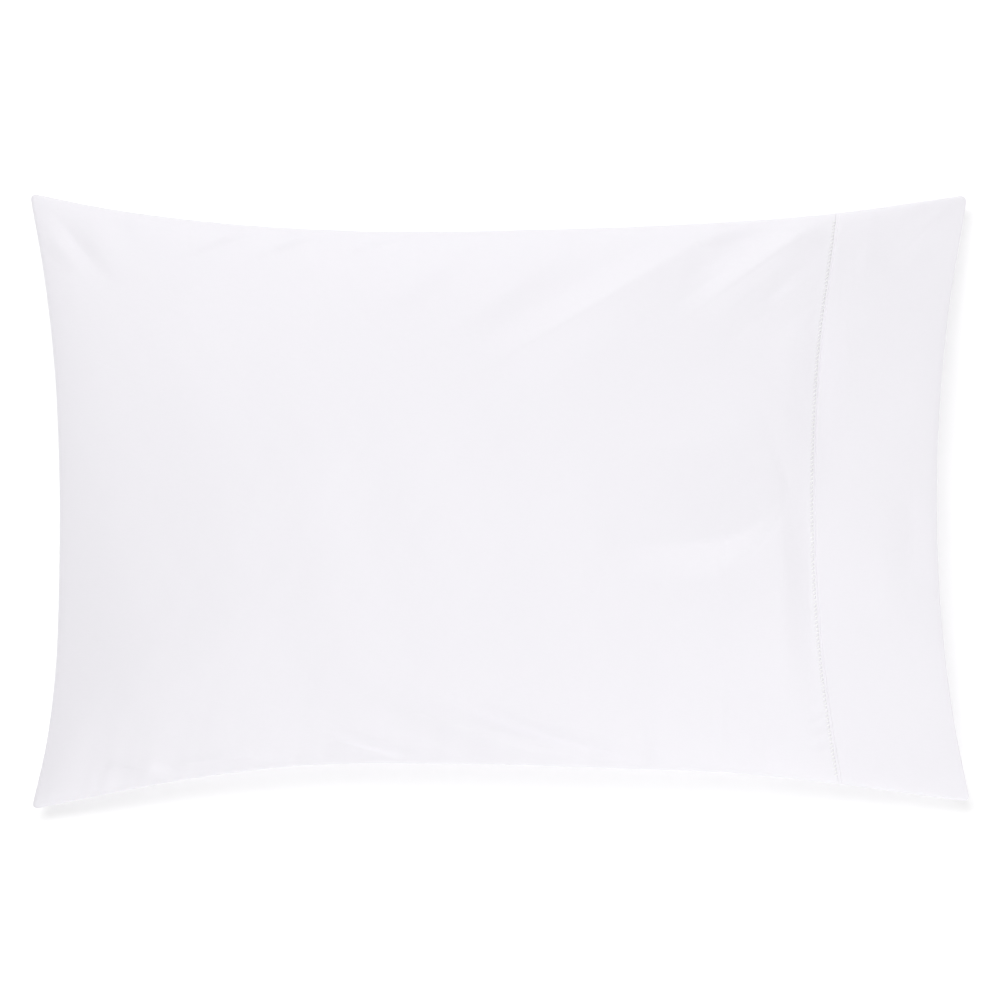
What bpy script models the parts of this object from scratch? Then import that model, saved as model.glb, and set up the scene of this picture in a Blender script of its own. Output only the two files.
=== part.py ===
"""A filled bed pillowcase lying on its back, with a hemstitched cuff round its open end.

Metres, +Z up. The length runs along X, with the closed end at -X and the mouth at +X, and the
width along Y. The origin is the middle of the footprint, on the surface that the case lies on.

Two sewn pieces:
  case  the body of the case: one filled solid with its crown and drawn-in seams. Past the
        hemstitch it steps in by the cuff's thickness and runs on, as the rounded end of what
        fills it, to stop short of the mouth.
  cuff  the doubled band of cloth round the open end: a sleeve with a wall of even thickness.

A place on the cloth is given by two shares: along, from the closed end (0) to the mouth (1), and
across, from the near seam at -Y (0) to the far seam at +Y (1).
"""

import bmesh
import bpy
import numpy as np

# The cloth, sewn flat.
CASE_LENGTH = 0.730
CASE_WIDTH = 0.480
HEM_ALONG = 0.858           # where the cuff is joined on at the seams, about 0.1 from the mouth
HEM_BOW = 0.004             # how far the joint draws back towards the closed end between them
CUFF_WALL = 0.0020          # the doubled cloth of the cuff
SEAM_EDGE = 0.0012          # half the thickness of the cloth where front and back are sewn together
CORNER_RADIUS = 0.006       # of the case's corners, seen from above
FIT_GAP = 0.0003            # between the case and the cuff where they are sewn
FILL_GAP = 0.0006           # between the filled end and the inside of the cuff
SIDE_ALLOWANCE = 0.0060     # from the edge of the cuff in to its hollow, at the side seams
FILL_END_ALONG = 0.950      # where the filled end stops, inside the cuff
FILL_END_EASE = 0.75        # under 1, that end is blunter than an ellipse

# The seams as seen from above: smooth curves through (x, y), drawn in between the corners.
NEAR_SEAM = (
    (-0.3661, -0.2415), (-0.3116, -0.2300), (-0.2492, -0.2180), (-0.1556, -0.2062),
    (-0.0400, -0.2044), (0.0900, -0.2080), (0.1876, -0.2124), (0.2700, -0.2215), (0.3682, -0.2355),
)
FAR_SEAM = (
    (-0.3673, 0.2408), (-0.3116, 0.2293), (-0.2180, 0.2168), (-0.0932, 0.2098),
    (0.0316, 0.2112), (0.1564, 0.2161), (0.2500, 0.2231), (0.3660, 0.2394),
)
CLOSED_SEAM = (
    (-0.3661, -0.2415), (-0.3530, -0.1864), (-0.3465, -0.1396), (-0.3425, -0.0600),
    (-0.3425, 0.0300), (-0.3460, 0.1000), (-0.3545, 0.1720), (-0.3673, 0.2408),
)
MOUTH_EDGE = (
    (0.3682, -0.2355), (0.3555, -0.1750), (0.3444, -0.0928), (0.3405, -0.0100),
    (0.3420, 0.0600), (0.3485, 0.1350), (0.3660, 0.2394),
)

# How high the seams lie: at the corners, and half way between them.
CORNER_HEIGHT = 0.024
SIDE_HEIGHT = 0.056
CLOSED_HEIGHT = 0.056
MOUTH_HEIGHT = 0.046

# The fill. A rise is the share of the length or width over which the cloth climbs to its full
# height. An ease of 0.5 climbs as a quarter of an ellipse, and a larger one more slackly.
CROWN = 0.058               # how far the top stands above the sheet between the seams
BELLY = 0.125               # how far the underside would hang below it with nothing under it
CLOSED_RISE = 0.40
MOUTH_RISE = 0.42
MOUTH_EASE = 0.62
MOUTH_SHARE = 0.105         # how much of the fill is left at the mouth, which stands open
SIDE_RISE = 0.50
HEM_DROP = 0.0040           # how far the hemstitch is drawn in
HEM_DROP_REACH = 0.030      # and over what length of the body beside it
FLOOR_EASE = 0.010          # how softly the underside meets the surface

# The corners, which lack some of the fill: where they are, how much they lack, and how far from them.
EAR_COLUMNS = ("along", "across", "loss", "reach")
EARS = (
    (0.0, 0.0, 0.50, 0.085),
    (0.0, 1.0, 0.50, 0.085),
    (1.0, 1.0, 0.50, 0.080),
    (1.0, 0.0, 0.72, 0.150),
)

# The main folds of the upper side: from, to, height (below 0 for a trough), the widths on the left
# and on the right of the way from the one end to the other, how round the crest is, how far along
# the way the fold is highest, and how far it bends to its left.
FOLD_COLUMNS = (
    "from_x", "from_y", "to_x", "to_y", "height", "left", "right", "crest", "lean", "bow",
)
FOLDS = (
    # From the far seam towards the middle: a broad ridge.
    (0.156, 0.204, -0.020, 0.096, 0.0075, 0.016, 0.027, 0.003, 0.40, 0.002),
    # From the far seam beside the cuff: a narrow ridge between two troughs.
    (0.246, 0.207, 0.146, 0.122, 0.0066, 0.013, 0.020, 0.002, 0.40, 0.0),
    (0.225, 0.224, 0.135, 0.166, -0.0040, 0.015, 0.016, 0.004, 0.45, 0.0),
    (0.262, 0.204, 0.150, 0.108, -0.0046, 0.018, 0.016, 0.004, 0.40, 0.0),
    # The hollow beside the cuff.
    (0.248, 0.180, 0.246, 0.012, -0.0058, 0.018, 0.070, 0.004, 0.55, 0.0),
    # The tent beside the cuff: its ridge, and its steep side.
    (0.236, 0.018, 0.090, -0.044, 0.0120, 0.034, 0.060, 0.001, 0.30, 0.016),
    (0.2165, 0.022, 0.2205, -0.165, 0.0095, 0.021, 0.045, 0.002, 0.42, 0.0),
    # The far closed corner: a trough and the ridge beside it.
    (-0.354, 0.230, -0.306, 0.172, -0.0042, 0.014, 0.015, 0.003, 0.50, 0.0),
    (-0.336, 0.236, -0.278, 0.166, 0.0030, 0.015, 0.018, 0.003, 0.50, 0.0),
    # Along the near seam: a trough and the ridge beside it.
    (-0.040, -0.152, 0.150, -0.207, -0.0036, 0.013, 0.010, 0.001, 0.42, -0.006),
    (-0.095, -0.150, 0.066, -0.207, 0.0050, 0.018, 0.016, 0.002, 0.48, -0.003),
    # On the cuff: a hollow and the ridge beside it.
    (0.322, 0.034, 0.318, -0.090, -0.0040, 0.020, 0.016, 0.003, 0.55, 0.0),
    (0.308, -0.002, 0.294, -0.090, 0.0042, 0.014, 0.018, 0.002, 0.50, 0.0),
)

# How finely the solids are divided.
BODY_STATIONS = 68
FILL_STATIONS = 8
CUFF_STATIONS = 10
ACROSS_STATIONS = 36


def smooth_curve(knots, shares):
    """The points that lie these shares of the way along a smooth curve through the knots."""
    knots = np.array(knots)
    steps = np.linalg.norm(np.diff(knots, axis=0), axis=1)
    reached = np.concatenate([[0.0], np.cumsum(steps)]) / steps.sum()
    slopes = np.gradient(knots, reached, axis=0)
    k = np.clip(np.searchsorted(reached, shares, side="right") - 1, 0, len(knots) - 2)
    span = (reached[k + 1] - reached[k])[:, None]
    w = (shares - reached[k])[:, None] / span
    rise = w * w * (3 - 2 * w)
    start_pull = w * (1 - w) ** 2 * span * slopes[k]
    end_pull = w * w * (1 - w) * span * slopes[k + 1]
    return knots[k] * (1 - rise) + knots[k + 1] * rise + start_pull - end_pull


def seam(knots, middle_height, shares):
    """Points of a seam, with their heights."""
    swell = np.sin(np.pi * np.clip(shares, 0, 1)) ** 0.7
    heights = CORNER_HEIGHT + (middle_height - CORNER_HEIGHT) * swell
    return np.column_stack([smooth_curve(knots, shares), heights])


def rounded_corners(along, across):
    """The two shares, drawn in where the corners of the case are rounded."""
    past_along = np.abs(2 * along - 1) - 1 + 2 * CORNER_RADIUS / CASE_LENGTH
    past_across = np.abs(2 * across - 1) - 1 + 2 * CORNER_RADIUS / CASE_WIDTH
    p = np.clip(past_along * CASE_LENGTH / (2 * CORNER_RADIUS), 0, 1)
    q = np.clip(past_across * CASE_WIDTH / (2 * CORNER_RADIUS), 0, 1)
    drawn_along = p * (1 - np.sqrt(1 - q * q / 2)) * CORNER_RADIUS / CASE_LENGTH
    drawn_across = q * (1 - np.sqrt(1 - p * p / 2)) * CORNER_RADIUS / CASE_WIDTH
    return (
        along - np.sign(along - 0.5) * drawn_along,
        across - np.sign(across - 0.5) * drawn_across,
    )


def seam_sheet(along, across):
    """The sheet stretched between the four seams: the plan of the case, and the seams' own height."""
    along, across = rounded_corners(along, across)
    near = seam(NEAR_SEAM, SIDE_HEIGHT, along)
    far = seam(FAR_SEAM, SIDE_HEIGHT, along)
    closed = seam(CLOSED_SEAM, CLOSED_HEIGHT, across)
    mouth = seam(MOUTH_EDGE, MOUTH_HEIGHT, across)
    u = along[:, None]
    v = across[:, None]
    ends = np.array([0.0, 1.0])
    near_closed, near_mouth = seam(NEAR_SEAM, SIDE_HEIGHT, ends)
    far_closed, far_mouth = seam(FAR_SEAM, SIDE_HEIGHT, ends)
    between_sides = near * (1 - v) + far * v
    between_ends = closed * (1 - u) + mouth * u
    between_near_corners = near_closed * (1 - u) + near_mouth * u
    between_far_corners = far_closed * (1 - u) + far_mouth * u
    return between_sides + between_ends - between_near_corners * (1 - v) - between_far_corners * v


def climb(distance, rise, ease=0.5):
    """From 0 at a seam to 1 at the full height."""
    left = 1 - np.clip(distance / rise, 0, 1)
    return (1 - left * left) ** ease


def from_side(across):
    """How far in from the nearer side seam, as a share of the width."""
    return np.minimum(across, 1 - across)


def fullness(along, across):
    """The share of its full height that the filled cloth has reached."""
    closed_end = climb(along, CLOSED_RISE)
    mouth_end = MOUTH_SHARE + (1 - MOUTH_SHARE) * climb(1 - along, MOUTH_RISE, MOUTH_EASE)
    full = closed_end * mouth_end * climb(from_side(across), SIDE_RISE)
    for row in EARS:
        ear = dict(zip(EAR_COLUMNS, row))
        away = np.hypot(
            (along - ear["along"]) * CASE_LENGTH,
            (across - ear["across"]) * CASE_WIDTH,
        )
        full *= 1 - ear["loss"] * np.exp(-((away / ear["reach"]) ** 2))
    return full


def edge_thickness(along, across):
    """Half the thickness of the cloth itself, rounded off at the closed end and the sides."""
    inward = np.minimum(along * CASE_LENGTH, from_side(across) * CASE_WIDTH)
    return SEAM_EDGE * climb(inward, SEAM_EDGE)


def hem_line(across):
    """Where the cuff is joined on, as a share of the length."""
    return HEM_ALONG - HEM_BOW * np.sin(np.pi * across)


def hem_drop(along, across):
    """How far the hemstitch draws in the upper side of the body and of the cuff beside it."""
    hem = hem_line(across)
    start = hem - HEM_DROP_REACH / CASE_LENGTH
    share = np.clip((along - start) / (hem - start), 0, 1)
    fade = np.clip((1 - along) / (1 - hem), 0, 1)
    return HEM_DROP * share * share * (3 - 2 * share) * fade * climb(from_side(across), 0.2)


def fold_height(x, y):
    """How far the folds lift or lower the upper side here.

    Ridges that meet don't pile up: the higher one counts. So it is with troughs.
    """
    ridges = np.zeros_like(x)
    troughs = np.zeros_like(x)
    for row in FOLDS:
        fold = dict(zip(FOLD_COLUMNS, row))
        way_x = fold["to_x"] - fold["from_x"]
        way_y = fold["to_y"] - fold["from_y"]
        length = np.hypot(way_x, way_y)
        off_x = x - fold["from_x"]
        off_y = y - fold["from_y"]
        reach = np.clip((off_x * way_x + off_y * way_y) / length**2, 0, 1)
        bend = fold["bow"] * np.sin(np.pi * reach)
        aside = (way_x * off_y - way_y * off_x) / length - bend
        width = np.where(aside > 0, fold["left"], fold["right"])
        away = (np.hypot(aside, fold["crest"]) - fold["crest"]) / width
        slope = np.clip(1 - away, 0, 1) ** 1.3
        swell = np.sin(np.pi * reach ** (np.log(0.5) / np.log(fold["lean"])))
        height = fold["height"] * swell * slope
        ridges = np.maximum(ridges, height)
        troughs = np.minimum(troughs, height)
    return ridges + troughs


def lift(along, across):
    """How far the upper side of the case stands above the sheet between its seams."""
    x, y, _ = seam_sheet(along, across).T
    inward = np.minimum(from_side(across), along)
    folds = fold_height(x, y) * climb(inward, 0.04)
    full = CROWN * fullness(along, across)
    return edge_thickness(along, across) + full - hem_drop(along, across) + folds


def hang(along, across):
    """How far the underside reaches below that sheet, on the surface or clear of it."""
    level = seam_sheet(along, across)[:, 2]
    free = level - edge_thickness(along, across) - BELLY * fullness(along, across)
    eased = np.clip(free + FLOOR_EASE, 0, 2 * FLOOR_EASE) ** 2 / (4 * FLOOR_EASE)
    return level - np.where(free > FLOOR_EASE, free, eased)


def outer_ring(along, across, upper):
    """A ring of points round the outside of the cloth."""
    x, y, level = seam_sheet(along, across).T
    height = np.where(upper, level + lift(along, across), level - hang(along, across))
    return np.column_stack([x, y, height])


def inner_ring(along, across, upper, wall, allowance, shut):
    """A ring that lies a wall below the outside, and the allowance in from the side seams.

    shut runs from 1 down to 0 where the ring closes onto the level of the seams.
    """
    margin = allowance / CASE_WIDTH
    drawn_in = margin + across * (1 - 2 * margin)
    x, y, level = seam_sheet(along, drawn_in).T
    rounded = shut * climb(from_side(across) * CASE_WIDTH, 2 * wall)
    above = (lift(along, drawn_in) - wall) * rounded
    below = (hang(along, drawn_in) - wall) * rounded
    return np.column_stack([x, y, np.where(upper, level + above, level - below)])


def once_round():
    """Once round the case: the shares across, and whether each is on the upper side."""
    even = np.linspace(0, 1, ACROSS_STATIONS + 1)
    top = (even + (1 - np.cos(even * np.pi)) / 2) / 2
    across = np.concatenate([top, top[-2::-1]])
    return across, np.arange(len(across)) <= ACROSS_STATIONS


def lofted(name, rings, material):
    """A closed solid through rings of points, from a grid rolled up and welded."""
    rows = len(rings)
    columns = len(rings[0])
    mesh = bmesh.new()
    bmesh.ops.create_grid(mesh, x_segments=columns - 1, y_segments=rows - 1, size=1.0)
    for vert, point in zip(mesh.verts, np.concatenate(rings)):
        vert.co = point
    bmesh.ops.remove_doubles(mesh, verts=mesh.verts, dist=1e-6)
    bmesh.ops.recalc_face_normals(mesh, faces=mesh.faces)
    data = bpy.data.meshes.new(name)
    mesh.to_mesh(data)
    mesh.free()
    data.shade_smooth()
    data.materials.append(material)
    solid = bpy.data.objects.new(name, data)
    bpy.context.scene.collection.objects.link(solid)
    return solid


def case_rings():
    """The body from the closed end to the hemstitch, then the filled end inside the cuff."""
    across, upper = once_round()
    hem = hem_line(across)
    even = np.linspace(0, 1, BODY_STATIONS + 1)
    closer_to_end = 1 - np.cos(even * np.pi / 2)
    rings = [outer_ring(hem * share, across, upper) for share in (closer_to_end + 2 * even) / 3]
    for turn in np.linspace(0, np.pi / 2, FILL_STATIONS + 1):
        rings.append(inner_ring(
            hem + (FILL_END_ALONG - hem) * np.sin(turn), across, upper,
            wall=CUFF_WALL + FILL_GAP,
            allowance=SIDE_ALLOWANCE + FILL_GAP,
            shut=np.cos(turn) ** FILL_END_EASE,
        ))
    return rings


def cuff_rings():
    """The sleeve: out along its outer side, round the mouth, and back along its inner side."""
    across, upper = once_round()
    start = hem_line(across) + FIT_GAP / CASE_LENGTH
    stations = [start + (1 - start) * share for share in np.linspace(0, 1, CUFF_STATIONS + 1)]
    rings = [outer_ring(along, across, upper) for along in stations]
    for along in stations[::-1]:
        rings.append(inner_ring(along, across, upper, CUFF_WALL, SIDE_ALLOWANCE, shut=1.0))
    rings.append(rings[0])
    return rings


def white_cotton(name, roughness):
    material = bpy.data.materials.new(name)
    material.use_nodes = True
    shader = material.node_tree.nodes["Principled BSDF"]
    shader.inputs["Base Color"].default_value = (0.88, 0.875, 0.90, 1.0)
    shader.inputs["Roughness"].default_value = roughness
    shader.inputs["Metallic"].default_value = 0.0
    return material


def main():
    for leftover in list(bpy.data.objects):
        bpy.data.objects.remove(leftover)
    lofted("case", case_rings(), white_cotton("case_cotton", 0.85))
    lofted("cuff", cuff_rings(), white_cotton("cuff_cotton", 0.80))


main()
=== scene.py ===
"""A filled bed pillowcase lying on its back, in white cotton, with a hemstitched cuff round its
open end. The camera looks straight down on it.

A place on the cloth is given by two shares: along, from the closed end (0) to the mouth (1), and
across, from the near seam at -Y (0) to the far seam at +Y (1). Sizes are in metres.
"""

import bmesh
import bpy
import numpy as np
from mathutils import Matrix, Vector


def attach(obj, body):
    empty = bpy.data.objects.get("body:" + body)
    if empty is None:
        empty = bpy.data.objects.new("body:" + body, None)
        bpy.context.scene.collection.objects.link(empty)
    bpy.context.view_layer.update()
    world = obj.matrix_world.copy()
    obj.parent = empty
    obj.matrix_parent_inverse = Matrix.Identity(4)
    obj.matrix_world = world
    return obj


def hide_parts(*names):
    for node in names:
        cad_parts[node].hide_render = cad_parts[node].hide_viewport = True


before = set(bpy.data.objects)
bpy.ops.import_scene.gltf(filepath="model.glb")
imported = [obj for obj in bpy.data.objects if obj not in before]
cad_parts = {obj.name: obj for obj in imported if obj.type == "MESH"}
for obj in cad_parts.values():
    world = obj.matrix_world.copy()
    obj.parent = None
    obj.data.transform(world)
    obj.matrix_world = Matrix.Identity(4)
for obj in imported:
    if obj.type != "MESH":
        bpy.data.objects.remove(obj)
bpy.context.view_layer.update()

# ------------------------------------------------------------------------------------------------
# Sizes of the cloth, the seams and the fill
# ------------------------------------------------------------------------------------------------

CASE_LENGTH = 0.730
CASE_WIDTH = 0.480
HEM_ALONG = 0.858           # where the cuff is joined on, at the seams
HEM_BOW = 0.004             # how far that line draws back towards the closed end between them
CUFF_WALL = 0.0016
SEAM_EDGE = 0.0011          # half the thickness of the rim where front and back are sewn together
CORNER_RADIUS = 0.006
SIDE_ALLOWANCE = 0.0050     # from the edge of the cuff in to its hollow, at the side seams
FILL_END_ALONG = 0.947      # where the pillow inside ends
FILL_END_EASE = 0.75        # how blunt that end is, from 0 (square) to 1 (round)
FILL_CLEARANCE = 0.0006     # between that end and the inside of the cuff
BODY_END_ALLOWANCE = 0.004  # from the edge of the body in to its closed end, under the cuff

# The four seam lines of the plan, each from -X to +X or from -Y to +Y.
NEAR_SEAM = (
    (-0.3661, -0.2415), (-0.3116, -0.2300), (-0.2492, -0.2180), (-0.1556, -0.2062),
    (-0.0400, -0.2044), (0.0900, -0.2080), (0.1876, -0.2124), (0.2700, -0.2215), (0.3682, -0.2355),
)
FAR_SEAM = (
    (-0.3673, 0.2408), (-0.3116, 0.2293), (-0.2180, 0.2168), (-0.0932, 0.2098),
    (0.0316, 0.2112), (0.1564, 0.2161), (0.2500, 0.2231), (0.3660, 0.2394),
)
CLOSED_SEAM = (
    (-0.3661, -0.2415), (-0.3530, -0.1864), (-0.3465, -0.1396), (-0.3425, -0.0600),
    (-0.3425, 0.0300), (-0.3460, 0.1000), (-0.3545, 0.1720), (-0.3673, 0.2408),
)
MOUTH_EDGE = (
    (0.3682, -0.2355), (0.3555, -0.1750), (0.3444, -0.0928), (0.3405, -0.0100),
    (0.3420, 0.0600), (0.3485, 0.1350), (0.3660, 0.2394),
)

# How high the corners and the middles of the seams and the mouth are above the surface.
CORNER_HEIGHT = 0.024
SIDE_HEIGHT = 0.056
CLOSED_HEIGHT = 0.056
MOUTH_HEIGHT = 0.046
SEAM_SWELL = 0.7            # how a seam climbs from its corners: the lower, the sooner

# The fill: how far it pushes the upper side up and the underside down where it is full, and the
# shares of the length and of the width over which it climbs from the seams.
CROWN = 0.058
BELLY = 0.125
CLOSED_RISE = 0.40
MOUTH_RISE = 0.42
MOUTH_EASE = 0.62
MOUTH_SHARE = 0.105         # how full it is at the mouth itself
SIDE_RISE = 0.50
HEM_DROP = 0.0040           # how far the hemstitch draws the upper side in,
HEM_DROP_REACH = 0.030      # from how far before it,
HEM_DROP_RISE = 0.2         # and the share of the width over which that begins at the sides
STEP_RISE = 0.004           # how far in from the side seams small steps have their full height
FLOOR_EASE = 0.010          # how softly the underside turns flat where it rests

# The corners, which lack some of the fill: where they are, how much of it they lack there, and
# how far from them that reaches.
EAR_COLUMNS = ("along", "across", "loss", "reach")
EARS = (
    (0.0, 0.0, 0.50, 0.085),
    (0.0, 1.0, 0.50, 0.085),
    (1.0, 1.0, 0.50, 0.080),
    (1.0, 0.0, 0.72, 0.150),
)

# Folds have round ends, hollow sides, and their full height only this share away from the seams.
ARCH_POWER = 1.5
SLOPE_POWER = 1.3
FOLD_RISE = 0.04

# The folds and creases of the upper side: from, to, height (below 0 for a trough), the widths on
# the left and on the right of the way from the one end to the other, how round the crest is, how
# far along the way the fold is highest, and how far it bends to its left.
FOLD_COLUMNS = (
    "from_x", "from_y", "to_x", "to_y", "height", "left", "right", "crest", "lean", "bow",
)
FOLDS = (
    # From the far seam towards the middle: a broad ridge, and fainter ones beyond it.
    (0.170, 0.212, -0.034, 0.088, 0.0080, 0.032, 0.020, 0.0012, 0.45, 0.002),
    (0.060, 0.202, -0.060, 0.118, 0.0030, 0.016, 0.030, 0.004, 0.45, 0.002),
    (-0.030, 0.196, -0.105, 0.140, 0.0016, 0.014, 0.024, 0.004, 0.45, 0.002),
    # From the far seam beside the cuff: a narrow ridge between troughs, and faint ones beside it.
    (0.248, 0.218, 0.132, 0.1310, 0.0068, 0.014, 0.013, 0.0012, 0.43, 0.0),
    (0.225, 0.224, 0.135, 0.166, -0.0040, 0.015, 0.016, 0.004, 0.45, 0.0),
    (0.262, 0.204, 0.150, 0.108, -0.0046, 0.018, 0.016, 0.004, 0.40, 0.0),
    (0.205, 0.225, 0.130, 0.188, 0.0028, 0.010, 0.014, 0.002, 0.40, 0.0),
    (0.250, 0.162, 0.208, 0.118, 0.0022, 0.010, 0.013, 0.002, 0.45, 0.0),
    (0.206, 0.160, 0.180, 0.122, 0.0016, 0.010, 0.012, 0.002, 0.45, 0.0),
    # The hollow beside the cuff.
    (0.248, 0.200, 0.246, -0.006, -0.0105, 0.020, 0.082, 0.004, 0.52, 0.0),
    # The tent beside the cuff: its ridge, and its steep side.
    (0.2200, 0.0160, 0.070, -0.032, 0.0135, 0.028, 0.075, 0.001, 0.32, 0.028),
    (0.2150, 0.016, 0.2205, -0.176, 0.0105, 0.021, 0.060, 0.0012, 0.42, 0.0),
    # The far closed corner.
    (-0.356, 0.234, -0.292, 0.158, -0.0022, 0.009, 0.012, 0.0012, 0.45, 0.0),
    (-0.336, 0.236, -0.274, 0.162, 0.0020, 0.015, 0.018, 0.003, 0.50, 0.0),
    (-0.355, 0.214, -0.324, 0.178, 0.0022, 0.009, 0.010, 0.002, 0.50, 0.0),
    # Along the far seam, by the closed end.
    (-0.252, 0.189, -0.176, 0.218, 0.0034, 0.012, 0.006, 0.0008, 0.55, 0.001),
    (-0.196, 0.189, -0.124, 0.214, 0.0034, 0.012, 0.006, 0.0008, 0.55, 0.001),
    (-0.128, 0.191, -0.052, 0.214, 0.0030, 0.012, 0.006, 0.0008, 0.55, 0.001),
    # Along the near seam: the long crease and its ridge, and the shorter pair to its left.
    (-0.050, -0.149, 0.160, -0.209, -0.0050, 0.011, 0.009, 0.0008, 0.44, -0.006),
    (-0.104, -0.146, 0.076, -0.210, 0.0080, 0.019, 0.016, 0.0012, 0.50, -0.003),
    (-0.160, -0.171, -0.026, -0.205, -0.0038, 0.008, 0.009, 0.0008, 0.50, -0.003),
    (-0.148, -0.176, -0.066, -0.204, 0.0042, 0.009, 0.010, 0.0008, 0.50, -0.002),
    # The near closed corner.
    (-0.264, -0.211, -0.158, -0.205, 0.0036, 0.009, 0.009, 0.0008, 0.50, 0.008),
    (-0.306, -0.205, -0.234, -0.221, 0.0038, 0.009, 0.009, 0.0008, 0.40, 0.002),
    # On the cuff: a hollow, the ridge beside it, and the streaks by the far seam.
    (0.324, 0.110, 0.319, -0.096, -0.0034, 0.024, 0.022, 0.003, 0.66, 0.0),
    (0.306, 0.004, 0.294, -0.094, 0.0034, 0.016, 0.018, 0.002, 0.50, 0.0),
    (0.304, 0.182, 0.350, 0.232, 0.0026, 0.013, 0.009, 0.001, 0.55, 0.0),
    (0.290, 0.205, 0.274, 0.130, 0.0024, 0.013, 0.016, 0.002, 0.40, 0.0),
    # Small puckers beside the hemstitch, by the near seam.
    (0.236, -0.170, 0.256, -0.160, -0.0016, 0.006, 0.005, 0.001, 0.50, 0.0),
    (0.238, -0.181, 0.258, -0.170, -0.0016, 0.006, 0.005, 0.001, 0.50, 0.0),
    (0.240, -0.192, 0.259, -0.184, -0.0013, 0.006, 0.005, 0.001, 0.50, 0.0),
    # The pressed line left by folding the case flat.
    (0.1725, 0.010, 0.1720, -0.075, -0.0008, 0.0030, 0.0030, 0.0004, 0.60, 0.0),
    (0.1720, -0.130, 0.1740, -0.214, -0.0009, 0.0030, 0.0030, 0.0004, 0.50, 0.0),
)

# The soft unevenness of the upper side: height, seed, number of waves, and their lengths.
UNEVENNESS = (
    (0.0006, 11, 9, 0.070, 0.190),
    (0.00012, 12, 12, 0.022, 0.06),
)

# The small gathers along the side seams: their number, lengths and height (for one of the usual
# length), how far in they begin and reach, how much they slant, and how far from the closed end
# they begin. The seeds are those of the upper side and of the underside.
GATHERS = 16
GATHER_SHORTEST = 0.011
GATHER_LONGEST = 0.045
GATHER_USUAL = 0.03
GATHER_HEIGHT = 0.00026
GATHER_RISE = 0.004
GATHER_REACH_SHARE = 0.35   # of its length, and
GATHER_REACH = 0.012        # this besides
GATHER_SLANT = 25
GATHER_END_RISE = 0.012
UPPER_GATHER_SEED = 21
UNDER_GATHER_SEED = 31

# Rings of the hemstitch: how far from the joint, and how far below the cloth round it. In the body
# they step down into the drawn-thread row, and on the cuff they climb out of it over a flat strip
# and the cuff's own folded edge.
DRAWN_ROW = (
    (0.0060, 0.0), (0.0042, 0.0), (0.0031, -0.00008), (0.0025, -0.00008), (0.0021, 0.0),
    (0.0019, 0.00009), (0.0017, 0.00017), (0.0009, 0.00021), (0.00004, 0.00019),
)
FOLDED_EDGE = (
    (0.0, 0.00017), (0.0001, 0.00009), (0.0004, 0.00003), (0.0009, 0.0), (0.0014, 0.0),
    (0.0017, 0.00009), (0.0019, 0.00030), (0.0021, 0.00036), (0.0023, 0.00020), (0.0025, -0.00022),
    (0.0028, -0.00050), (0.0034, -0.00062), (0.0050, -0.00044), (0.0080, -0.0002), (0.0120, 0.0),
)
# The rounded lip of the mouth: how far from it, and how far below the cloth.
LIP = ((0.0030, -0.0001), (0.0016, -0.0001), (0.0008, 0.0), (0.0003, 0.0002), (0.0001, 0.0004),
       (0.0, 0.0008))

# The bundles of threads in the hemstitch: how far apart they are, where they start in the body and
# end in the cuff, how far their ends lean along the row, how deep they lie and how thick they are,
# and half their width at these shares of the way over, from the body (-1) to the cuff (1).
HOLE_PITCH = 0.0033
BUNDLE_BEFORE = 0.0021
BUNDLE_BEYOND = 0.0004
BUNDLE_LEAN = 0.0008
BUNDLE_DEPTH = 0.00004
BUNDLE_HALF_HEIGHT = 0.00022
BUNDLE_SIDES = 6
BUNDLE_WIDTHS = (
    (-1.0, 0.0), (-1.0, 0.00090), (-0.6, 0.00072), (0.0, 0.00052), (0.6, 0.00072), (1.0, 0.00090),
    (1.0, 0.0),
)
STITCHED = (0.014, 0.986)   # the shares across between which the row is stitched
STITCH_SAMPLES = 1600

# The pillow's end: its lumps and the ruffle of its sewn edge (seed, number of waves, and their
# lengths) with their heights, and the edge's rings: how far beyond the end, and half as thick.
LUMPS = (41, 8, 0.030, 0.110)
LUMP_HEIGHT = 0.0022
RUFFLE = (42, 6, 0.020, 0.060)
RUFFLE_HEIGHT = 0.0011
SEWN_EDGE = ((0.0012, 0.0009), (0.0035, 0.0008), (0.0060, 0.0008), (0.0066, 0.0))
SEWN_EDGE_WIDTH = 0.006

# How finely the cloth is divided, and how much of the spacing is crowded and how much is even.
BODY_STATIONS = 284
SIDE_STATIONS = 168
FILLING_STATIONS = 80
CUFF_STATIONS = 44
INSIDE_STATIONS = 14
END_STATIONS = 26
BODY_SPACING = (0.35, 0.65)
SIDE_SPACING = (0.55, 0.45)
BODY_RING_GAP = 0.0020      # between the regular rings and those of the hemstitch,
CUFF_RING_GAP = 0.0015      # and on the cuff
INSIDE_START = 0.96         # the share of the cuff at which its inside takes wider rings
MERGE_DISTANCE = 1e-6

# Colours and the woven material.
COTTON_WHITE = (0.868, 0.853, 0.893)
TICKING_WHITE = (0.80, 0.79, 0.80)
# The threads are painted whiter than real thread: painted light that lifts the shade falling in the
# drawn-thread row of the hemstitch.
THREAD_WHITE_PAINTED_LIGHTER = 0.91
THREAD_PITCH = 0.00045
SLUBS_PER_METRE = (160.0, 1400.0, 1.0)
SLUB_SHADE = 0.975


# ------------------------------------------------------------------------------------------------
# The form of the filled case
# ------------------------------------------------------------------------------------------------

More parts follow.
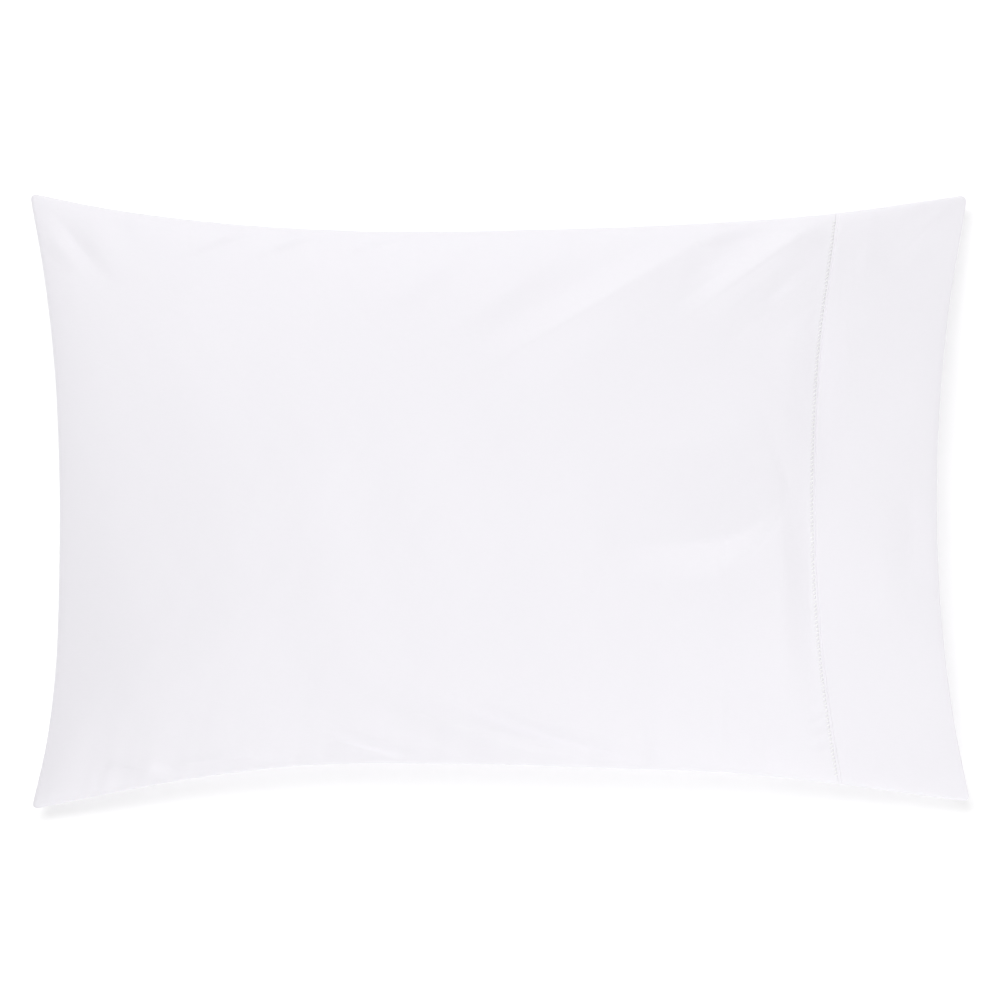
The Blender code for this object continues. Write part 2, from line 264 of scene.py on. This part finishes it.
def smooth_curve(knots, shares):
    """The points that lie these shares of the way along a smooth curve through the knots."""
    knots = np.array(knots)
    steps = np.linalg.norm(np.diff(knots, axis=0), axis=1)
    reached = np.concatenate([[0.0], np.cumsum(steps)]) / steps.sum()
    slopes = np.gradient(knots, reached, axis=0)
    k = np.clip(np.searchsorted(reached, shares, side="right") - 1, 0, len(knots) - 2)
    span = (reached[k + 1] - reached[k])[:, None]
    w = (shares - reached[k])[:, None] / span
    rise = w * w * (3 - 2 * w)
    start_pull = w * (1 - w) ** 2 * span * slopes[k]
    end_pull = w * w * (1 - w) * span * slopes[k + 1]
    return knots[k] * (1 - rise) + knots[k + 1] * rise + start_pull - end_pull


def seam(knots, middle_height, shares):
    """Points of a seam, with their heights."""
    swell = np.sin(np.pi * np.clip(shares, 0, 1)) ** SEAM_SWELL
    heights = CORNER_HEIGHT + (middle_height - CORNER_HEIGHT) * swell
    return np.column_stack([smooth_curve(knots, shares), heights])


def rounded_corners(along, across):
    """The two shares, drawn in where the corners of the case are rounded."""
    past_along = np.abs(2 * along - 1) - 1 + 2 * CORNER_RADIUS / CASE_LENGTH
    past_across = np.abs(2 * across - 1) - 1 + 2 * CORNER_RADIUS / CASE_WIDTH
    p = np.clip(past_along * CASE_LENGTH / (2 * CORNER_RADIUS), 0, 1)
    q = np.clip(past_across * CASE_WIDTH / (2 * CORNER_RADIUS), 0, 1)
    drawn_along = p * (1 - np.sqrt(1 - q * q / 2)) * CORNER_RADIUS / CASE_LENGTH
    drawn_across = q * (1 - np.sqrt(1 - p * p / 2)) * CORNER_RADIUS / CASE_WIDTH
    return (
        along - np.sign(along - 0.5) * drawn_along,
        across - np.sign(across - 0.5) * drawn_across,
    )


def seam_sheet(along, across):
    """The sheet stretched between the four seams: the plan of the case, and the seams' heights."""
    along, across = rounded_corners(along, across)
    near = seam(NEAR_SEAM, SIDE_HEIGHT, along)
    far = seam(FAR_SEAM, SIDE_HEIGHT, along)
    closed = seam(CLOSED_SEAM, CLOSED_HEIGHT, across)
    mouth = seam(MOUTH_EDGE, MOUTH_HEIGHT, across)
    u = along[:, None]
    v = across[:, None]
    ends = np.array([0.0, 1.0])
    near_closed, near_mouth = seam(NEAR_SEAM, SIDE_HEIGHT, ends)
    far_closed, far_mouth = seam(FAR_SEAM, SIDE_HEIGHT, ends)
    between_sides = near * (1 - v) + far * v
    between_ends = closed * (1 - u) + mouth * u
    between_near_corners = near_closed * (1 - u) + near_mouth * u
    between_far_corners = far_closed * (1 - u) + far_mouth * u
    return between_sides + between_ends - between_near_corners * (1 - v) - between_far_corners * v


def climb(distance, rise, ease=0.5):
    """From 0 at a seam to 1 at the full height."""
    left = 1 - np.clip(distance / rise, 0, 1)
    return (1 - left * left) ** ease


def from_side(across):
    """How far in from the nearer side seam, as a share of the width."""
    return np.minimum(across, 1 - across)


def fullness(along, across):
    """The share of its full height that the filled cloth has reached."""
    closed_end = climb(along, CLOSED_RISE)
    mouth_end = MOUTH_SHARE + (1 - MOUTH_SHARE) * climb(1 - along, MOUTH_RISE, MOUTH_EASE)
    full = closed_end * mouth_end * climb(from_side(across), SIDE_RISE)
    for row in EARS:
        ear = dict(zip(EAR_COLUMNS, row))
        away = np.hypot(
            (along - ear["along"]) * CASE_LENGTH,
            (across - ear["across"]) * CASE_WIDTH,
        )
        full *= 1 - ear["loss"] * np.exp(-((away / ear["reach"]) ** 2))
    return full


def edge_thickness(along, across):
    """Half the thickness of the cloth itself, rounded off at the closed end and the sides."""
    inward = np.minimum(along * CASE_LENGTH, from_side(across) * CASE_WIDTH)
    return SEAM_EDGE * climb(inward, SEAM_EDGE)


def hem_line(across):
    """Where the cuff is joined on, as a share of the length."""
    return HEM_ALONG - HEM_BOW * np.sin(np.pi * across)


def hem_drop(along, across):
    """How far the hemstitch draws in the upper side of the body and of the cuff beside it."""
    hem = hem_line(across)
    start = hem - HEM_DROP_REACH / CASE_LENGTH
    share = np.clip((along - start) / (hem - start), 0, 1)
    fade = np.clip((1 - along) / (1 - hem), 0, 1)
    begun = climb(from_side(across), HEM_DROP_RISE)
    return HEM_DROP * share * share * (3 - 2 * share) * fade * begun


def fold_height(x, y):
    """How far the folds and creases lift or lower the upper side here.

    Ridges that meet don't pile up: the higher one counts. So it is with troughs.
    """
    ridges = np.zeros_like(x)
    troughs = np.zeros_like(x)
    for row in FOLDS:
        fold = dict(zip(FOLD_COLUMNS, row))
        way_x = fold["to_x"] - fold["from_x"]
        way_y = fold["to_y"] - fold["from_y"]
        length = np.hypot(way_x, way_y)
        off_x = x - fold["from_x"]
        off_y = y - fold["from_y"]
        reach = np.clip((off_x * way_x + off_y * way_y) / length**2, 0, 1)
        arch = np.sin(np.pi * reach ** (np.log(0.5) / np.log(fold["lean"])))
        aside = (way_x * off_y - way_y * off_x) / length - fold["bow"] * arch
        width = np.where(aside > 0, fold["left"], fold["right"])
        away = (np.hypot(aside, fold["crest"]) - fold["crest"]) / width
        slope = np.clip(1 - away, 0, 1) ** SLOPE_POWER
        height = fold["height"] * np.clip(arch, 0, 1) ** ARCH_POWER * slope
        ridges = np.maximum(ridges, height)
        troughs = np.minimum(troughs, height)
    return ridges + troughs


def waves(x, y, seed, count, shortest, longest):
    """Soft unevenness between about -1 and 1, from a seeded sum of long waves."""
    random = np.random.default_rng(seed)
    total = np.zeros_like(x)
    for _ in range(count):
        turn = random.uniform(0, np.pi)
        length = np.exp(random.uniform(np.log(shortest), np.log(longest)))
        phase = random.uniform(0, 2 * np.pi)
        total += np.sin((x * np.cos(turn) + y * np.sin(turn)) * 2 * np.pi / length + phase)
    return total / np.sqrt(count)


def gathers(along, across, seed):
    """Small gathers that run in from the side seams, and die away towards the middle."""
    way = along * CASE_LENGTH
    inward = from_side(across) * CASE_WIDTH
    random = np.random.default_rng(seed)
    total = np.zeros_like(along)
    for _ in range(GATHERS):
        length = np.exp(random.uniform(np.log(GATHER_SHORTEST), np.log(GATHER_LONGEST)))
        phase, other_phase, slant = random.uniform(0, 2 * np.pi, 3)
        slanted = (slant / np.pi - 1) * GATHER_SLANT * inward
        turned = slanted + np.where(across > 0.5, other_phase, phase)
        reach = GATHER_REACH_SHARE * length + GATHER_REACH
        begun = inward / GATHER_RISE
        fade = begun / (1 + begun) * np.exp(-inward / reach)
        total += length / GATHER_USUAL * np.sin(way * 2 * np.pi / length + turned) * fade
    return total * GATHER_HEIGHT * climb(way, GATHER_END_RISE)


def lift(along, across):
    """How far the upper side of the case stands above the sheet between its seams."""
    x, y, _ = seam_sheet(along, across).T
    uneven = sum(height * waves(x, y, *kind) for height, *kind in UNEVENNESS)
    inward = np.minimum(from_side(across), along)
    folds = (fold_height(x, y) + uneven) * climb(inward, FOLD_RISE)
    full = CROWN * fullness(along, across)
    edge = edge_thickness(along, across)
    gathered = gathers(along, across, UPPER_GATHER_SEED)
    return edge + full - hem_drop(along, across) + folds + gathered


def hang(along, across):
    """How far the underside reaches below that sheet, on the surface or clear of it."""
    level = seam_sheet(along, across)[:, 2]
    free = level - edge_thickness(along, across) - BELLY * fullness(along, across)
    free += gathers(along, across, UNDER_GATHER_SEED)
    eased = np.clip(free + FLOOR_EASE, 0, 2 * FLOOR_EASE) ** 2 / (4 * FLOOR_EASE)
    return level - np.where(free > FLOOR_EASE, free, eased)


def outer_ring(along, across, upper, sunk=0.0):
    """A ring of points round the outside of the cloth, or sunk below it."""
    x, y, level = seam_sheet(along, across).T
    sunk = sunk * climb(from_side(across) * CASE_WIDTH, STEP_RISE)
    above = lift(along, across) - sunk
    below = hang(along, across) - sunk
    return np.column_stack([x, y, np.where(upper, level + above, level - below)])


def inner_ring(along, across, upper, wall, allowance, shut):
    """A ring that lies a wall below the outside, and the allowance in from the side seams.

    shut runs from 1 down to 0 where the ring closes onto the level of the seams.
    """
    margin = allowance / CASE_WIDTH
    drawn_in = margin + across * (1 - 2 * margin)
    x, y, level = seam_sheet(along, drawn_in).T
    rounded = shut * climb(from_side(across) * CASE_WIDTH, 2 * wall)
    above = (lift(along, drawn_in) - wall) * rounded
    below = (hang(along, drawn_in) - wall) * rounded
    return np.column_stack([x, y, np.where(upper, level + above, level - below)])


def once_round(stations):
    """Once round the case: the shares across, and whether each is on the upper side.

    Both sides have the same shares, so that their seams close point to point.
    """
    top = np.linspace(0, 1, stations + 1)
    even = np.concatenate([top, top[-2::-1]])
    crowded = 1 - np.cos(np.pi * even)
    across = SIDE_SPACING[0] * crowded / 2 + SIDE_SPACING[1] * even
    return across, np.arange(len(even)) <= stations


# ------------------------------------------------------------------------------------------------
# Meshes
# ------------------------------------------------------------------------------------------------

def added(name, mesh, material):
    """The object of a finished bmesh, in the scene."""
    data = bpy.data.meshes.new(name)
    mesh.to_mesh(data)
    mesh.free()
    data.shade_smooth()
    data.materials.append(material)
    piece = bpy.data.objects.new(name, data)
    bpy.context.scene.collection.objects.link(piece)
    return piece


def closed(mesh):
    """Merge the points that meet, and turn the faces outwards."""
    bmesh.ops.remove_doubles(mesh, verts=mesh.verts, dist=MERGE_DISTANCE)
    bmesh.ops.recalc_face_normals(mesh, faces=mesh.faces)
    if mesh.calc_volume(signed=True) < 0:
        bmesh.ops.reverse_faces(mesh, faces=mesh.faces)


def lofted(name, rings, flat_rings, material):
    """A closed piece through rings of points, with its flat cloth's own coordinates as a UV map."""
    rows = len(rings)
    columns = len(rings[0])
    mesh = bmesh.new()
    bmesh.ops.create_grid(mesh, x_segments=columns - 1, y_segments=rows - 1, size=1.0)
    for vert, point in zip(mesh.verts, np.concatenate(rings)):
        vert.co = point
    mesh.verts.index_update()
    flat = np.concatenate(flat_rings)
    layer = mesh.loops.layers.uv.new("cloth")
    for face in mesh.faces:
        for loop in face.loops:
            loop[layer].uv = flat[loop.vert.index]
    closed(mesh)
    return added(name, mesh, material)


def flat_ring(along, across, upper):
    """Where a ring of the cloth lies on the flat cloth, the underside beyond the upper one."""
    v = np.where(upper, across, 2 - across) * CASE_WIDTH
    return np.column_stack([along * CASE_LENGTH, v])


def make_case(material):
    """The body, from the closed end to the drawn-thread row beside the cuff, and its closed end."""
    across, upper = once_round(SIDE_STATIONS)
    hem = hem_line(across)
    even = np.linspace(0, 1, BODY_STATIONS + 1)
    crowded = 1 - np.cos(even * np.pi / 2)
    last = hem - (DRAWN_ROW[0][0] + BODY_RING_GAP) / CASE_LENGTH
    shares = BODY_SPACING[0] * crowded + BODY_SPACING[1] * even
    stations = [(last * share, 0.0) for share in shares]
    stations += [(hem - before / CASE_LENGTH, sunk) for before, sunk in DRAWN_ROW]
    rings = [outer_ring(along, across, upper, sunk) for along, sunk in stations]
    flats = [flat_ring(along, across, upper) for along, _ in stations]
    end = stations[-1][0]
    rings.append(inner_ring(end, across, upper, CUFF_WALL, BODY_END_ALLOWANCE, shut=0.0))
    flats.append(flats[-1])
    return lofted("case_cloth", rings, flats, material)


def make_cuff(material):
    """The cuff, out along its outer side, round the lip of the mouth and back along its inside."""
    across, upper = once_round(SIDE_STATIONS)
    start = hem_line(across)
    first = start + (FOLDED_EDGE[-1][0] + CUFF_RING_GAP) / CASE_LENGTH
    last = 1 - (LIP[0][0] + CUFF_RING_GAP) / CASE_LENGTH
    stations = [(start + beyond / CASE_LENGTH, sunk) for beyond, sunk in FOLDED_EDGE]
    for share in np.linspace(0, 1, CUFF_STATIONS + 1):
        stations.append((first + (last - first) * share, 0.0))
    stations += [(np.full_like(across, 1 - before / CASE_LENGTH), sunk) for before, sunk in LIP]
    rings = [outer_ring(along, across, upper, sunk) for along, sunk in stations]
    flats = [flat_ring(along, across, upper) for along, _ in stations]
    inside = [(along, CUFF_WALL - sunk) for along, sunk in stations[:-len(LIP) - 2:-1]]
    for share in np.linspace(INSIDE_START, 0, INSIDE_STATIONS):
        inside.append((start + (last - start) * share, CUFF_WALL))
    for along, wall in inside:
        rings.append(inner_ring(along, across, upper, wall, SIDE_ALLOWANCE, shut=1.0))
        flats.append(flat_ring(2 - along, across, upper))
    rings.append(rings[0])
    flats.append(flats[0])
    return lofted("cuff_cloth", rings, flats, material)


def make_filling_end(material):
    """The end of the pillow inside, seen through the mouth, with its two halves sewn together."""
    across, upper = once_round(FILLING_STATIONS)
    start = hem_line(across) + FILL_CLEARANCE / CASE_LENGTH
    wall = CUFF_WALL + FILL_CLEARANCE
    allowance = SIDE_ALLOWANCE + FILL_CLEARANCE
    rings = [inner_ring(start, across, upper, wall, allowance, shut=0.0)]
    flats = [flat_ring(start, across, upper)]
    for turn in np.linspace(0, np.pi / 2, END_STATIONS + 1)[:-1]:
        along = start + (FILL_END_ALONG - start) * np.sin(turn)
        shut = np.cos(turn) ** FILL_END_EASE
        ring = inner_ring(along, across, upper, wall, allowance, shut)
        lumps = waves(ring[:, 1], ring[:, 2], *LUMPS)
        ring[:, 0] += LUMP_HEIGHT * (lumps - 1) * (1 - shut)
        rings.append(ring)
        flats.append(flat_ring(along, across, upper))

    # The sewn edge, which stands out from the middle of that end.
    tip = rings[-1].copy()
    tip[:, 0] = (tip[:, 0] + tip[::-1, 0]) / 2
    end = np.full_like(across, FILL_END_ALONG)
    level = seam_sheet(end, across)[:, 2]
    ruffle = RUFFLE_HEIGHT * waves(tip[:, 1], 0 * tip[:, 1], *RUFFLE)
    up = np.where(upper, 1, -1) * climb(from_side(across) * CASE_WIDTH, STEP_RISE)
    for beyond, half in SEWN_EDGE:
        ring = tip.copy()
        ring[:, 0] += beyond
        ring[:, 2] = level + ruffle * beyond / SEWN_EDGE_WIDTH + half * up
        rings.append(ring)
        flats.append(flat_ring(end, across, upper))
    return lofted("filling_end", rings, flats, material)


def stitch_places(side_up):
    """The middle of each bundle of threads, with the ways over and along the drawn row."""
    across = np.linspace(*STITCHED, STITCH_SAMPLES)
    upper = np.full(len(across), side_up)
    hem = hem_line(across)
    body = outer_ring(hem - BUNDLE_BEFORE / CASE_LENGTH, across, upper)
    cuff = outer_ring(hem + BUNDLE_BEYOND / CASE_LENGTH, across, upper)
    middle = (body + cuff) / 2
    steps = np.linalg.norm(np.diff(middle, axis=0), axis=1)
    reached = np.concatenate([[0.0], np.cumsum(steps)])
    wanted = np.arange(HOLE_PITCH / 2, reached[-1], HOLE_PITCH)

    def sampled(points):
        return np.column_stack([np.interp(wanted, reached, points[:, k]) for k in range(3)])

    along_row = sampled(np.gradient(middle, axis=0))
    along_row /= np.linalg.norm(along_row, axis=1)[:, None]
    return sampled(middle), sampled(cuff - body) / 2, along_row


def make_threads(material):
    """The slanted bundles of threads between the holes of the hemstitch, each drawn in midway."""
    mesh = bmesh.new()
    turns = np.linspace(0, 2 * np.pi, BUNDLE_SIDES + 1)
    for side_up in (True, False):
        for middle, half_over, along_row in zip(*stitch_places(side_up)):
            out = np.cross(half_over, along_row)
            out *= (1 if side_up else -1) * np.sign(out[2]) / np.linalg.norm(out)
            points = []
            for over, width in BUNDLE_WIDTHS:
                lean = over * BUNDLE_LEAN * along_row
                centre = middle + over * half_over + lean - BUNDLE_DEPTH * out
                height = min(width, BUNDLE_HALF_HEIGHT)
                for turn in turns:
                    rim = along_row * np.cos(turn) * width + out * np.sin(turn) * height
                    points.append(centre + rim)
            made = bmesh.ops.create_grid(
                mesh, x_segments=BUNDLE_SIDES, y_segments=len(BUNDLE_WIDTHS) - 1, size=1.0,
            )
            for vert, point in zip(made["verts"], points):
                vert.co = point
    closed(mesh)
    return added("hemstitch_threads", mesh, material)


# ------------------------------------------------------------------------------------------------
# Materials
# ------------------------------------------------------------------------------------------------

def set_inputs(node, values):
    """Give these of a node's inputs their values."""
    for name, value in values.items():
        node.inputs[name].default_value = value


def new_shader(name, values):
    """A new material and its shader, with these of its inputs set."""
    material = bpy.data.materials.new(name)
    material.use_nodes = True
    shader = material.node_tree.nodes["Principled BSDF"]
    set_inputs(shader, values)
    return material, shader


def cotton(name, color, bloom):
    """White cotton: a fine plain weave with uneven threads, a soft bloom and a faint crumple."""
    material, shader = new_shader(name, {
        "Roughness": 0.9,
        "Sheen Weight": bloom,
        "Sheen Roughness": 0.5,
        "Specular IOR Level": 0.25,
    })
    links = material.node_tree.links

    def node(kind, **values):
        """A new node, with these of its inputs set: an underscore stands for a space."""
        made = material.node_tree.nodes.new(kind)
        set_inputs(made, {key.replace("_", " "): value for key, value in values.items()})
        return made

    place = node("ShaderNodeUVMap")
    place.uv_map = "cloth"

    # The weave: warp and weft, each thread a little uneven. At a scale of 1, 20 waves take 2 pi.
    weave = node("ShaderNodeMath")
    weave.operation = "MULTIPLY"
    for direction, socket in (("X", 0), ("Y", 1)):
        scale = 2 * np.pi / THREAD_PITCH / 20
        wave = node("ShaderNodeTexWave", Scale=scale, Distortion=0.4, Detail_Scale=0.2)
        wave.bands_direction = direction
        links.new(place.outputs["UV"], wave.inputs["Vector"])
        links.new(wave.outputs["Fac"], weave.inputs[socket])

    # Slubs: long thin unevenness in the colour, along the weft.
    slub_place = node("ShaderNodeMapping", Scale=SLUBS_PER_METRE)
    links.new(place.outputs["UV"], slub_place.inputs["Vector"])
    slubs = node("ShaderNodeTexNoise", Scale=1.0, Detail=2.0)
    links.new(slub_place.outputs["Vector"], slubs.inputs["Vector"])
    shade = node("ShaderNodeMix")
    shade.data_type = "RGBA"
    shade.inputs["A"].default_value = (*(channel * SLUB_SHADE for channel in color), 1.0)
    shade.inputs["B"].default_value = (*color, 1.0)
    links.new(slubs.outputs["Fac"], shade.inputs["Factor"])
    links.new(shade.outputs["Result"], shader.inputs["Base Color"])

    # A faint crumple, then the weave on it.
    crumple = node("ShaderNodeTexNoise", Scale=95.0, Detail=3.0, Roughness=0.45)
    links.new(place.outputs["UV"], crumple.inputs["Vector"])
    crumpled = node("ShaderNodeBump", Strength=0.22, Distance=0.0010)
    links.new(crumple.outputs["Fac"], crumpled.inputs["Height"])
    woven = node("ShaderNodeBump", Strength=0.12, Distance=0.0001)
    links.new(weave.outputs["Value"], woven.inputs["Height"])
    links.new(crumpled.outputs["Normal"], woven.inputs["Normal"])
    links.new(woven.outputs["Normal"], shader.inputs["Normal"])
    return material


def plain_white(name, value, glow=0.0):
    """An even white, which may glow a little."""
    return new_shader(name, {
        "Base Color": (value, value, value, 1.0),
        "Roughness": 0.9,
        "Specular IOR Level": 0.1,
        "Emission Color": (1.0, 1.0, 1.0, 1.0),
        "Emission Strength": glow,
    })[0]


# ------------------------------------------------------------------------------------------------
# Stage, light and camera
# ------------------------------------------------------------------------------------------------

FLOOR_HALF_SIZE = 8.0
FLOOR_WHITE = 0.95
FLOOR_GLOW = 0.18
SKY_STRENGTH = 0.50

# The soft boxes: azimuth from +X towards +Y and elevation in degrees, and power in watts. Each has
# this width and height, and shines from this far away on the middle of the case.
SOFT_LIGHTS = (
    ("high_far_light", 118, 68, 31.0),
    ("low_near_light", 306, 14, 19.5),
    ("middle_near_light", 270, 30, 7.0),
    ("low_far_light", 62, 15, 7.8),
    ("low_end_light", 195, 12, 2.0),
)
LIGHT_SIZE = (1.6, 0.8)
LIGHT_DISTANCE = 2.6
LIGHT_AIM = (0, 0, 0.05)

# The camera: how far above the level at which its view is this wide, and the middle of that view.
CAMERA_DISTANCE = 5.0
VIEW_WIDTH = 0.78
VIEW_MIDDLE = (0.0004, 0.0008, 0.04)
SENSOR_WIDTH = 36.0


def make_floor():
    """A plain pale floor."""
    mesh = bmesh.new()
    bmesh.ops.create_grid(mesh, x_segments=1, y_segments=1, size=FLOOR_HALF_SIZE)
    floor = added("floor", mesh, plain_white("floor_white", FLOOR_WHITE, FLOOR_GLOW))


def make_light(name, azimuth, elevation, power):
    """A soft box, aimed at the middle of the case."""
    level = np.cos(np.radians(elevation))
    place = LIGHT_DISTANCE * Vector((
        np.cos(np.radians(azimuth)) * level,
        np.sin(np.radians(azimuth)) * level,
        np.sin(np.radians(elevation)),
    ))
    data = bpy.data.lights.new(name, "AREA")
    data.shape = "RECTANGLE"
    data.size, data.size_y = LIGHT_SIZE
    data.energy = power
    light = bpy.data.objects.new(name, data)
    light.location = place
    light.rotation_euler = (Vector(LIGHT_AIM) - place).to_track_quat("-Z", "Y").to_euler()
    bpy.context.scene.collection.objects.link(light)


def make_stage():
    """The floor, the soft boxes and an even white sky."""
    make_floor()
    for name, azimuth, elevation, power in SOFT_LIGHTS:
        make_light(name, azimuth, elevation, power)
    world = bpy.data.worlds.new("studio")
    world.use_nodes = True
    set_inputs(world.node_tree.nodes["Background"], {
        "Color": (1.0, 1.0, 1.0, 1.0),
        "Strength": SKY_STRENGTH,
    })
    bpy.context.scene.world = world
    bpy.context.scene.view_settings.view_transform = "Standard"


def make_camera():
    """The camera, which looks straight down."""
    data = bpy.data.cameras.new("camera")
    data.sensor_width = SENSOR_WIDTH
    data.lens = SENSOR_WIDTH * CAMERA_DISTANCE / VIEW_WIDTH
    camera = bpy.data.objects.new("camera", data)
    camera.location = Vector(VIEW_MIDDLE) + Vector((0, 0, CAMERA_DISTANCE))
    bpy.context.scene.collection.objects.link(camera)
    bpy.context.scene.camera = camera


def main():
    """Put the finished cloth in the place of the solids, on its stage."""
    case = make_case(cotton("case_cotton_weave", COTTON_WHITE, bloom=0.15))
    cuff = make_cuff(cotton("cuff_cotton_weave", COTTON_WHITE, bloom=0.15))
    filling = make_filling_end(cotton("pillow_ticking", TICKING_WHITE, bloom=0.05))
    # The threads' white is painted lighter than real thread, to lift the shade in the hemstitch
    # row.
    threads = make_threads(plain_white("hemstitch_thread", THREAD_WHITE_PAINTED_LIGHTER))
    for piece, node in ((case, "case"), (filling, "case"), (cuff, "cuff"), (threads, "cuff")):
        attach(piece, "root")
        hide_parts(node)
    make_stage()
    make_camera()


main()
